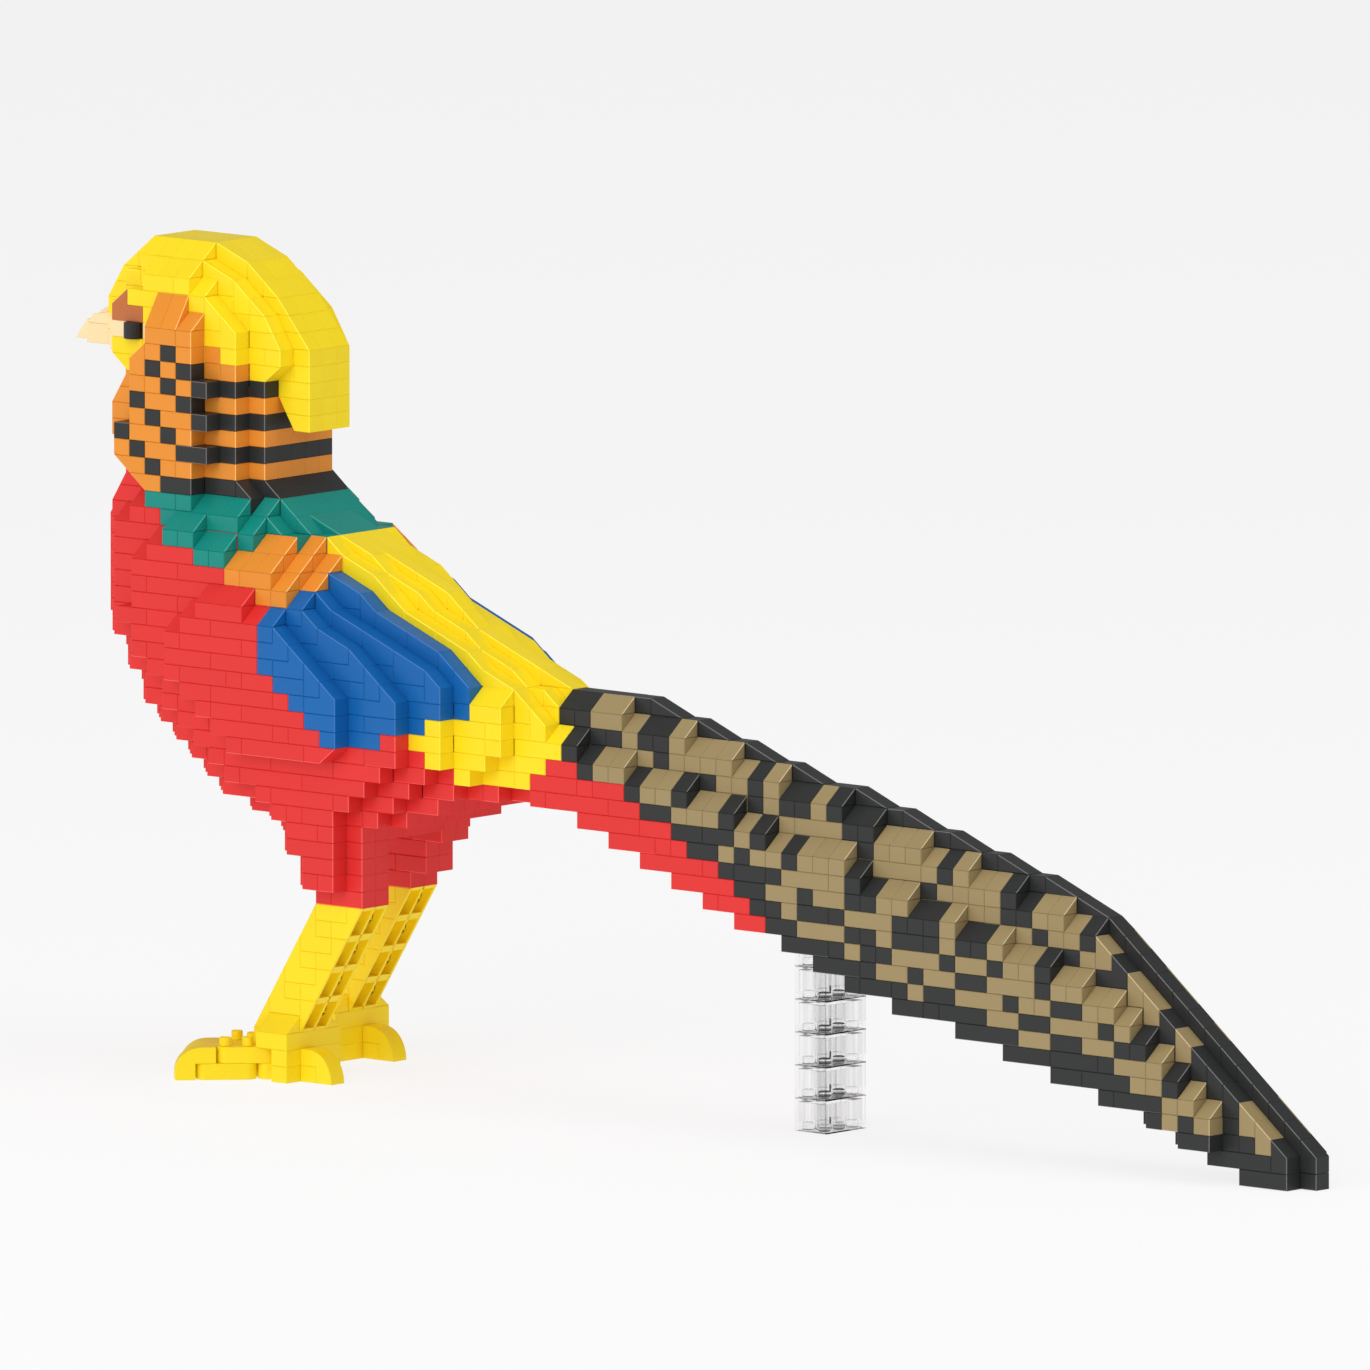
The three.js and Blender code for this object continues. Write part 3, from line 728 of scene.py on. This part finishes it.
def within(slice, x, z):
    # whether places lie in a slice: in a filled place, or with an odd number of its outline's edges behind
    if abs(slice) > 6:
        return np.zeros(x.shape, bool)
    a = np.array(outline(abs(slice)), float)
    b = np.roll(a, -1, axis=0)
    a, b = a[a[:, 1] != b[:, 1]], b[a[:, 1] != b[:, 1]]
    x1, z1 = x[..., None], z[..., None]
    spans = (a[:, 1] > z1) != (b[:, 1] > z1)
    behind = a[:, 0] + (z1 - a[:, 1]) * (b[:, 0] - a[:, 0]) / (b[:, 1] - a[:, 1]) > x1
    odd = (spans & behind).sum(axis=-1) % 2 == 1
    return odd | full[slice + 7, np.floor(x).astype(int) + 80, np.floor(z).astype(int) + 1]


def openEdges(corners, middle):
    # which edges of a brick's two caps are on the outside, and how wide to bevel the caps. Each edge is
    # tested just inside it, one slice to either side, and just outside it in the brick's own slice
    # the outside edges marked here get the painted highlight in the plastic's material
    count, n = corners.shape[:2]
    along = np.roll(corners, -1, axis=1) - corners
    away = np.stack([along[..., 1], -along[..., 0]], axis=-1)
    away *= brick["probe"] / np.linalg.norm(away, axis=2, keepdims=True)
    inner, outer = corners + along / 2 - away, corners + along / 2 + away
    lit, bevels = np.zeros((count, 2 * n + 1), bool), np.zeros((count, 2))
    for slice in np.unique(middle).tolist():
        here = middle == slice
        free = ~within(slice, outer[here, :, 0], outer[here, :, 1])
        for k, beside in enumerate((slice - 1, slice + 1)):
            bare = ~within(beside, inner[here, :, 0], inner[here, :, 1])
            lit[here, k * n:(k + 1) * n] = free & bare
            bevels[here, k] = np.where(bare.any(axis=1), brick["bevel"], brick["hiddenBevel"])
    return lit, bevels


full = np.zeros((15, 84, 54), bool)
full[tuple(np.array(sorted(filled | sloped)).T + np.array([[7], [80], [1]]))] = True
axes = {"y": [0, 2, 1], "x": [2, 0, 1], "z": [0, 1, 2]}  # where x, y and z are found in a point of a prism
half = math.sqrt(0.5)


def placed(points, placing):
    # from the frame a brick is laid in to studs of the lattice, and whether that mirrors it. A toe is turned
    # outwards by an eighth of a turn: tip + s (1, 1) / 2^0.5 + w (-1, 1) / 2^0.5
    x, y, z = np.moveaxis(points, -1, 0)
    if placing in ("toeLeft", "toeRight"):
        x, y = toe["tip"][0] + (x - y) * half, toe["tip"][1] + (x + y) * half
    if placing in ("otherLeg", "toeRight"):
        x, y = x - leg["step"], -y
    return np.stack([x, y, z], axis=-1), placing in ("otherLeg", "toeRight")


def solidsOf(chosen):                  # bevelled solids of a list of bricks, in metres
    groups = {}
    for one in chosen:
        key = len(one["corners"]), one["hollow"], one["axis"], one["placing"], one.get("inside", False)
        groups.setdefault(key, []).append(one)
    parts = []
    for (n, hollow, axis, placing, inside), some in groups.items():
        corners = np.array([one["corners"] for one in some], float)
        start, end = (np.array([one[key] for one in some], float) for key in ("start", "end"))
        if placing == "slice":
            lit, bevels = openEdges(corners, np.round((start + end) / 2).astype(int))
        else:
            lit = np.zeros((len(some), 2 * n + 1), bool)
            bevels = np.full((len(some), 2), (column if some[0]["piece"] == "column" else brick)["bevel"])
        # a side slope's open rear end gets the painted highlight along its sloped edge
        if placing == "sideSlope":
            lit[np.arange(len(some)), [one["slope"] for one in some]] = [one["rearOpen"] for one in some]
            bevels[:, 1] = brick["hiddenBevel"] if some[0]["piece"] == "crest" else brick["slopeBevel"]
            bevels[:, 0] = np.where(lit.any(axis=1), brick["bevel"], bevels[:, 1])
        # every four-sided box of the clear column gets a painted dark outline along its cap edges
        elif some[0]["piece"] == "column" and n == 4:
            lit[:, :2 * n] = True
        corners = corners * ([1, course / stud] if axis != "z" else [1, 1])
        if axis == "z":
            start, end = start * course / stud, end * course / stud
        seam = np.array([one["seam"] for one in some])
        corners = inset(corners, seam[:, None, None])[0]
        sign = np.sign(end - start) * seam
        points, faces, edges = prisms(corners, start + sign, end - sign, hollow, bevels)
        points, mirrored = placed(points[..., axes[axis]], placing)
        if mirrored != inside:
            faces = [f[::-1] for f in faces]
        # the tone is the fraction of a large multiple of |sin(centre . k)|, which spreads evenly
        tone = np.modf(np.abs(np.sin(points.mean(axis=1) @ [12.9898, 78.233, 37.719])) * 43758.5453)[0] - 0.5
        points = (points - [midStud, 0, 0]) * stud
        parts.append((points, faces, tone, lit[:, edges]))
    return parts


def meshOf(name, parts, material):
    # parts: points per solid, faces of one solid, tone per solid, edges with painted highlight per solid
    # (painted shade on the clear column); all become one mesh
    verts, loops, totals, tones, edges = [], [], [], [], []
    offset = 0
    for points, faces, tone, lit in parts:
        count, per = points.shape[:2]
        verts.append(points.reshape(-1, 3))
        pattern = np.concatenate(faces)
        loops.append((pattern[None] + offset + per * np.arange(count)[:, None]).ravel())
        totals.append(np.tile([len(f) for f in faces], count))
        tones.append(np.repeat(tone, len(faces)))
        edges.append(lit.ravel())
        offset += count * per
    verts, loops = np.concatenate(verts), np.concatenate(loops)
    totals, tones, edges = np.concatenate(totals), np.concatenate(tones), np.concatenate(edges)
    used, loops = np.unique(loops, return_inverse=True)
    mesh = bpy.data.meshes.new(name)
    mesh.vertices.add(len(used))
    mesh.vertices.foreach_set("co", verts[used].astype(np.float32).ravel())
    mesh.loops.add(len(loops))
    mesh.loops.foreach_set("vertex_index", loops.ravel().astype(np.int32))
    mesh.polygons.add(len(totals))
    mesh.polygons.foreach_set("loop_start", np.concatenate([[0], np.cumsum(totals)[:-1]]).astype(np.int32))
    mesh.polygons.foreach_set("loop_total", totals.astype(np.int32))
    mesh.update(calc_edges=True)
    mesh.validate()
    mesh.set_sharp_from_angle(angle=math.radians(brick["sharpAngle"]))
    # brickTone is a tone that differs at random; the edge attribute marks where the painted highlight goes
    # (painted shade on the clear column)
    for attribute, values in (("brickTone", tones), ("paintedEdgeLightAndShade", edges)):
        mesh.attributes.new(attribute, "FLOAT", "FACE").data.foreach_set("value", values.astype(np.float32))
    piece = bpy.data.objects.new(name, mesh)
    bpy.context.scene.collection.objects.link(piece)
    mesh.materials.append(material)
    return piece


# Plastics

plastic = {
    "yellow": (0.95, 0.72, 0.012), "orange": (0.83, 0.29, 0.032), "teal": (0.006, 0.266, 0.222),
    "blue": (0.006, 0.130, 0.42), "red": (0.77, 0.034, 0.032), "black": (0.029, 0.030, 0.030),
    "tan": (0.355, 0.265, 0.125), "cream": (0.98, 0.75, 0.42), "brown": (0.54, 0.16, 0.05),
}
moulding = {
    "paintedGlow": {"yellow": 0.045},   # painted glow: light the plastic gives off itself, which keeps yellow's shaded faces bright
    "flowScale": 180, "flowDetail": 2,           # uneven flow of the plastic, in the gloss and the bump
    "roughness": (0.30, 0.44),
    "bump": (0.04, 0.0002),            # strength, and height in metres
    "specular": 0.22,
}


def addNode(nodes, kind, inputs=None, **settings):         # a node with its settings and its inputs' values
    made = nodes.new("ShaderNode" + kind)
    for name, value in settings.items():
        setattr(made, name, value)
    for name, value in (inputs or {}).items():
        made.inputs[name].default_value = value
    return made


def mouldedSurfaceAndPaintedHighlight():
    # colour x (1 + tone x spread + edge x gain), mixed with white by the edge's share: the tone varies at
    # random from brick to brick, and the edge terms paint a highlight on the open edges;
    # roughness and bump follow one noise
    group = bpy.data.node_groups.new("mouldedSurfaceAndPaintedHighlight", "ShaderNodeTree")
    for name, kind, way in (("Colour", "Color", "INPUT"), ("Spread", "Float", "INPUT"),
                            ("Edge", "Float", "INPUT"), ("Gain", "Float", "INPUT"),
                            ("Colour", "Color", "OUTPUT"), ("Roughness", "Float", "OUTPUT"),
                            ("Normal", "Vector", "OUTPUT")):
        group.interface.new_socket(name, in_out=way, socket_type="NodeSocket" + kind)
    nodes, join = group.nodes, group.links.new
    given, result = nodes.new("NodeGroupInput"), nodes.new("NodeGroupOutput")
    tone = addNode(nodes, "Attribute", attribute_name="brickTone")
    edge = addNode(nodes, "Attribute", attribute_name="paintedEdgeLightAndShade")
    spread = addNode(nodes, "Math", {2: 1}, operation="MULTIPLY_ADD")
    gain = addNode(nodes, "Math", operation="MULTIPLY_ADD")
    share = addNode(nodes, "Math", operation="MULTIPLY")
    tint = addNode(nodes, "HueSaturation")
    pale = addNode(nodes, "Mix", {"B": (1, 1, 1, 1)}, data_type="RGBA")
    join(tone.outputs["Fac"], spread.inputs[0])
    join(given.outputs["Spread"], spread.inputs[1])
    join(edge.outputs["Fac"], gain.inputs[0])
    join(given.outputs["Gain"], gain.inputs[1])
    join(spread.outputs[0], gain.inputs[2])
    join(gain.outputs[0], tint.inputs["Value"])
    join(given.outputs["Colour"], tint.inputs["Color"])
    join(edge.outputs["Fac"], share.inputs[0])
    join(given.outputs["Edge"], share.inputs[1])
    join(share.outputs[0], pale.inputs["Factor"])
    join(tint.outputs["Color"], pale.inputs["A"])
    join(pale.outputs["Result"], result.inputs["Colour"])
    place = addNode(nodes, "TexCoord")
    flow = addNode(nodes, "TexNoise", {"Scale": moulding["flowScale"], "Detail": moulding["flowDetail"]})
    low, high = moulding["roughness"]
    gloss = addNode(nodes, "MapRange", {"To Min": low, "To Max": high})
    strength, distance = moulding["bump"]
    bump = addNode(nodes, "Bump", {"Strength": strength, "Distance": distance})
    join(place.outputs["Object"], flow.inputs["Vector"])
    join(flow.outputs["Fac"], gloss.inputs["Value"])
    join(gloss.outputs["Result"], result.inputs["Roughness"])
    join(flow.outputs["Fac"], bump.inputs["Height"])
    join(bump.outputs["Normal"], result.inputs["Normal"])
    return group


surface = mouldedSurfaceAndPaintedHighlight()


def newMaterial(name):                 # a material, its nodes, and what links them
    material = bpy.data.materials.new(name)
    material.use_nodes = True
    return material, material.node_tree.nodes, material.node_tree.links.new


def plasticMaterial(name, colour):     # the moulded surface in one colour, with its painted edge highlight
    material, nodes, join = newMaterial("plastic" + name.capitalize())
    shader = nodes["Principled BSDF"]
    look = nodes.new("ShaderNodeGroup")
    look.node_tree = surface
    share = brick["softPaintedHighlights"].get(name, 1)
    for socket, value in (("Colour", (*colour, 1)), ("Spread", brick["toneSpread"]),
                          ("Edge", brick["paintedHighlight"] * share), ("Gain", brick["paintedHighlightGain"] * share)):
        look.inputs[socket].default_value = value
    for output, socket in (("Colour", "Base Color"), ("Roughness", "Roughness"), ("Normal", "Normal")):
        join(look.outputs[output], shader.inputs[socket])
    # painted glow: yellow gives off a faint light of its own, lifting its shaded faces
    shader.inputs["Emission Color"].default_value = (*colour, 1)
    shader.inputs["Emission Strength"].default_value = moulding["paintedGlow"].get(name, 0)
    shader.inputs["Specular IOR Level"].default_value = moulding["specular"]
    material.diffuse_color = (*colour, 1)
    return material


materials = {name: plasticMaterial(name, colour) for name, colour in plastic.items()}


# tones of the painted shade in the clear column
clear = {
    "streakScale": 1100, "streakStretch": 0.02, "streakTone": (0.85, 1.0),
    "speckScale": 1500, "speckTone": (0.92, 1.0), "studZone": 0.26, "edgeShade": -0.36,
    "noiseRange": (0.38, 0.62), "roughness": 0.05, "ior": 1.10,
}


def clearMaterial():
    # painted shade: darker upright streaks stand for walls and tubes seen through each other, darker specks
    # for the studs, which reach from each brick into the next, two courses apart: (z / two courses) mod 1 is
    # below studZone there
    material, nodes, join = newMaterial("plasticClear")
    shader = nodes["Principled BSDF"]
    place = addNode(nodes, "TexCoord")
    stretch = addNode(nodes, "Mapping", {"Scale": (1, 1, clear["streakStretch"])})
    streaks = addNode(nodes, "TexNoise", {"Scale": clear["streakScale"]})
    specks = addNode(nodes, "TexNoise", {"Scale": clear["speckScale"]})
    join(place.outputs["Object"], stretch.inputs["Vector"])
    join(stretch.outputs["Vector"], streaks.inputs["Vector"])
    join(place.outputs["Object"], specks.inputs["Vector"])
    both = addNode(nodes, "Mix")
    darkest, palest = clear["noiseRange"]
    for noise, tones, socket in ((streaks, clear["streakTone"], "A"), (specks, clear["speckTone"], "B")):
        tone = addNode(nodes, "MapRange", {"From Min": darkest, "From Max": palest, "To Min": tones[0],
                                           "To Max": tones[1]})
        join(noise.outputs["Fac"], tone.inputs["Value"])
        join(tone.outputs["Result"], both.inputs[socket])
    split = addNode(nodes, "SeparateXYZ")
    join(place.outputs["Object"], split.inputs["Vector"])
    last = split.outputs["Z"]
    for operation, value in (("MULTIPLY", 0.5 / course), ("FRACT", 0), ("LESS_THAN", clear["studZone"])):
        step = addNode(nodes, "Math", {1: value}, operation=operation)
        join(last, step.inputs[0])
        last = step.outputs[0]
    join(last, both.inputs["Factor"])
    # painted shade: a darker outline along the edges of the clear bricks, by edgeShade
    edge = addNode(nodes, "Attribute", attribute_name="paintedEdgeLightAndShade")
    shade = addNode(nodes, "Math", {1: clear["edgeShade"], 2: 1}, operation="MULTIPLY_ADD")
    final = addNode(nodes, "Math", operation="MULTIPLY")
    join(edge.outputs["Fac"], shade.inputs[0])
    join(both.outputs["Result"], final.inputs[0])
    join(shade.outputs[0], final.inputs[1])
    join(final.outputs[0], shader.inputs["Base Color"])
    shader.inputs["Roughness"].default_value = clear["roughness"]
    shader.inputs["IOR"].default_value = clear["ior"]
    shader.inputs["Transmission Weight"].default_value = 1.0
    return material


materials["clear"] = clearMaterial()


# Pieces of the body

standsFor = {"capeOrange": "cape", "tailBlack": "tail", "tailCoverts": "tail_coverts",
             "column": "stand_column"}
standsFor.update((name, name) for name in ("crest", "face", "mantle", "back", "torso", "beak"))
standsFor.update((name + flank, name + "_" + flank.lower()) for flank in ("Left", "Right")
                 for name in ("brow", "shoulder", "wing", "thigh", "shank", "foot", "claw", "eye"))


for name in sorted({one["piece"] for one in bricks}):
    chosen = [one for one in bricks if one["piece"] == name]
    colour = chosen[0]["colour"]
    if any(one["colour"] != colour for one in chosen):
        print("mixed colours in", name, sorted({one["colour"] for one in chosen}))
    piece = meshOf(name + "Bricks", solidsOf(chosen), materials[colour])
    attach(piece, "root")
    if name in standsFor:
        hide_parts(standsFor[name])
    print(name, len(chosen), "bricks")


# Floor, light and camera

stage = {"floorSize": 6, "floorColour": (0.16, 0.16, 0.16), "floorGlow": 0.815, "floorRoughness": 0.9,
         "floorSpecular": 0.1, "world": 0.29}


def floorPlane():                      # a square sheet that glows faintly
    half = stage["floorSize"] / 2
    mesh = bpy.data.meshes.new("floor")
    corners = [(-half, -half, 0), (half, -half, 0), (half, half, 0), (-half, half, 0)]
    mesh.from_pydata(corners, [], [(0, 1, 2, 3)])
    floor = bpy.data.objects.new("floor", mesh)
    bpy.context.scene.collection.objects.link(floor)
    material, nodes, _ = newMaterial("paleFloor")
    shader = nodes["Principled BSDF"]
    shader.inputs["Base Color"].default_value = (*stage["floorColour"], 1)
    shader.inputs["Roughness"].default_value = stage["floorRoughness"]
    shader.inputs["Specular IOR Level"].default_value = stage["floorSpecular"]
    shader.inputs["Emission Color"].default_value = (1, 1, 1, 1)
    shader.inputs["Emission Strength"].default_value = stage["floorGlow"]
    mesh.materials.append(material)


floorPlane()
world = bpy.data.worlds.new("studio")
bpy.context.scene.world = world
world.use_nodes = True
world.node_tree.nodes["Background"].inputs["Color"].default_value = (1, 1, 1, 1)
world.node_tree.nodes["Background"].inputs["Strength"].default_value = stage["world"]
bpy.context.scene.view_settings.view_transform = "Standard"

view = {
    "azimuth": 40.88, "elevation": 7.71,         # degrees, from the bird's left side towards its tail
    "target": (-39.25, 0, 25.94),                # studs, studs and courses at the image's centre
    "frameWidth": 0.2639,                        # metres across the image at the target
    "distance": 10,
}
lamps = [                                        # name, azimuth, elevation, distance, size, power
    ("key", 5, 26, 1.6, 1.2, 11.3),
    ("front", -42, 4, 1.6, 1.2, 3.9),
    ("edge", 12, 60, 1.6, 0.6, 1.7),
    ("top", 110, 80, 1.6, 1.2, 6.2),
    ("rear", 100, 40, 1.6, 1.2, 5.0),
]


def direction(azimuth, elevation):               # unit vector out from the bird; azimuth 0 is its left, -Y
    a, e = math.radians(azimuth), math.radians(elevation)
    return np.array([math.sin(a) * math.cos(e), -math.cos(a) * math.cos(e), math.sin(e)])


def aim(piece, at, target):            # puts a lamp or camera in place, looking at the target
    piece.location = at
    piece.rotation_euler = Vector(target - at).to_track_quat("-Z", "Y").to_euler()
    bpy.context.scene.collection.objects.link(piece)


target = np.array(toFrame(*view["target"]))
for name, azimuth, elevation, distance, size, power in lamps:
    lamp = bpy.data.lights.new(name, "AREA")
    lamp.size = size
    lamp.energy = power
    aim(bpy.data.objects.new(name, lamp), target + direction(azimuth, elevation) * distance, target)

camera = bpy.data.cameras.new("camera")
camera.sensor_width = 36
camera.lens = camera.sensor_width * view["distance"] / view["frameWidth"]
camera.clip_start, camera.clip_end = 0.1, 4 * view["distance"]
cameraObject = bpy.data.objects.new("camera", camera)
aim(cameraObject, target + direction(view["azimuth"], view["elevation"]) * view["distance"], target)
bpy.context.scene.camera = cameraObject
print("stage set")
